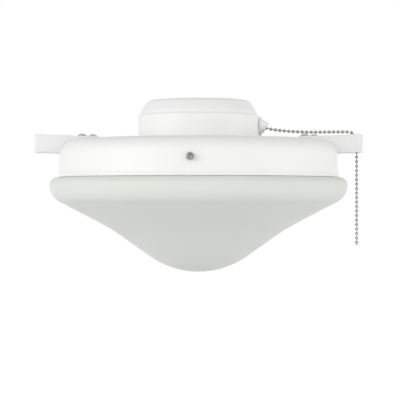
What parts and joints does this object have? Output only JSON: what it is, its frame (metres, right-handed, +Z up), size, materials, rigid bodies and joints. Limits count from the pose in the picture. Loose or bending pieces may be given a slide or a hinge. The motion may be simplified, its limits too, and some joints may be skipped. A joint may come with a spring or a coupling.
{
  "type": "ceiling fan light kit",
  "caption": "Bowl light kit that screws under a ceiling fan: white switch cap and pan, opal glass bowl held by thumb screws, chain arms and a bead pull chain.",
  "frame": {"origin": "centre of the switch cap's flat top, at the mouth of the threaded hole that the fan's stud screws into", "axes": "+Z up towards the fan, +X towards the arm that carries the pull chain, -Y is the front that the picture shows"},
  "size_m": [0.3074, 0.2796, 0.161],
  "materials": {
    "white_enamel": "gloss baked enamel",
    "arm_enamel": "semi-gloss enamel",
    "opal_glass": "satin opal glass",
    "lamp_frost": "inside-frosted lamp glass",
    "nickel": "nickel-plated steel",
    "zinc_steel": "zinc-plated steel",
    "dark_steel": "plain steel, slightly dull",
    "shell_metal": "bright aluminium",
    "contact_brass": "bare brass",
    "porcelain": "glazed porcelain",
    "switch_plastic": "moulded phenolic",
    "drum_plastic": "moulded nylon",
    "nut_plastic": "moulded plastic",
    "black_insulation": "wire insulation",
    "white_insulation": "wire insulation",
    "bell_metal": "satin metal, turned"
  },
  "bodies": {
    "housing": {"switch_cap": "white_enamel", "pan": "white_enamel", "arm_right": "arm_enamel", "arm_left": "arm_enamel", "hickey": "zinc_steel", "clamp_washer": "zinc_steel", "threaded_tube": "zinc_steel", "lock_washer": "zinc_steel", "locknut": "zinc_steel", "lamp_bracket": "zinc_steel", "lamp_holder_right": "porcelain", "lamp_holder_left": "porcelain", "screw_shell_right": "shell_metal", "screw_shell_left": "shell_metal", "centre_contact_right": "contact_brass", "centre_contact_left": "contact_brass", "holder_screws": "zinc_steel", "arm_screws": "dark_steel", "arm_nuts": "zinc_steel", "glass_screw_nuts": "zinc_steel", "switch_case": "switch_plastic", "switch_cover": "switch_plastic", "drum_axle": "zinc_steel", "switch_bushing": "nickel", "switch_nut": "nickel", "switch_terminals": "contact_brass", "return_spring": "dark_steel", "bell_guide": "bell_metal", "wire_nut_lamps": "nut_plastic", "wire_nut_neutral": "nut_plastic", "wire_nut_supply": "nut_plastic", "black_lead_right": "black_insulation", "black_lead_left": "black_insulation", "white_lead_right": "white_insulation", "white_lead_left": "white_insulation", "switch_lead_lamps": "black_insulation", "switch_lead_supply": "black_insulation"},
    "glass_bowl": {"glass_bowl": "opal_glass"},
    "lamp_right": {"lamp_base_right": "shell_metal", "lamp_glass_right": "lamp_frost"},
    "lamp_left": {"lamp_base_left": "shell_metal", "lamp_glass_left": "lamp_frost"},
    "glass_screw_front": {"glass_screw_front": "nickel"},
    "glass_screw_right": {"glass_screw_right": "nickel"},
    "glass_screw_left": {"glass_screw_left": "nickel"},
    "chain_run": {"chain_run": "nickel"},
    "chain_bend": {"chain_bend": "nickel"},
    "chain_drop": {"chain_drop": "nickel", "chain_end": "nickel"},
    "switch_drum": {"switch_drum": "drum_plastic", "chain_wrap": "nickel"}
  },
  "joints": [
    {"name": "glass_bowl_removal", "type": "slide", "parent": "housing", "child": "glass_bowl", "axis": [0, 0, -1], "range_m": [0, 0.08]},
    {"name": "glass_screw_front_out", "type": "slide", "parent": "housing", "child": "glass_screw_front", "axis": [-0.0541, -0.9985, 0], "range_m": [0, 0.006]},
    {"name": "glass_screw_right_out", "type": "slide", "parent": "housing", "child": "glass_screw_right", "axis": [0.8918, 0.4524, 0], "range_m": [0, 0.006]},
    {"name": "glass_screw_left_out", "type": "slide", "parent": "housing", "child": "glass_screw_left", "axis": [-0.8377, 0.5461, 0], "range_m": [0, 0.006]},
    {"name": "lamp_right_turn", "type": "hinge", "parent": "housing", "child": "lamp_right", "pos_m": [0.05, 0, -0.07], "axis": [1, 0, 0], "continuous": true},
    {"name": "lamp_left_turn", "type": "hinge", "parent": "housing", "child": "lamp_left", "pos_m": [-0.05, 0, -0.07], "axis": [-1, 0, 0], "continuous": true},
    {"name": "chain_pull", "type": "slide", "parent": "housing", "child": "chain_drop", "axis": [0, 0, -1], "range_m": [0, 0.008], "stiffness_N_per_m": 300, "springref_m": -0.004},
    {"name": "chain_run_travel", "type": "slide", "parent": "housing", "child": "chain_run", "axis": [1, 0, 0], "range_m": [0, 0.008]},
    {"name": "chain_bend_turn", "type": "hinge", "parent": "housing", "child": "chain_bend", "pos_m": [0.1423, 0, -0.03615], "axis": [0, 1, 0], "range_deg": [0, 67.5]},
    {"name": "switch_drum_turn", "type": "hinge", "parent": "housing", "child": "switch_drum", "pos_m": [0.036, 0, -0.01901], "axis": [0, -1, 0], "range_deg": [0, 90.1]}
  ],
  "couplings": [
    {"joint": "chain_run_travel", "follows": "chain_pull", "ratio": 1},
    {"joint": "chain_bend_turn", "follows": "chain_pull", "rad_per_m": 147.06},
    {"joint": "switch_drum_turn", "follows": "chain_pull", "rad_per_m": 196.35}
  ]
}
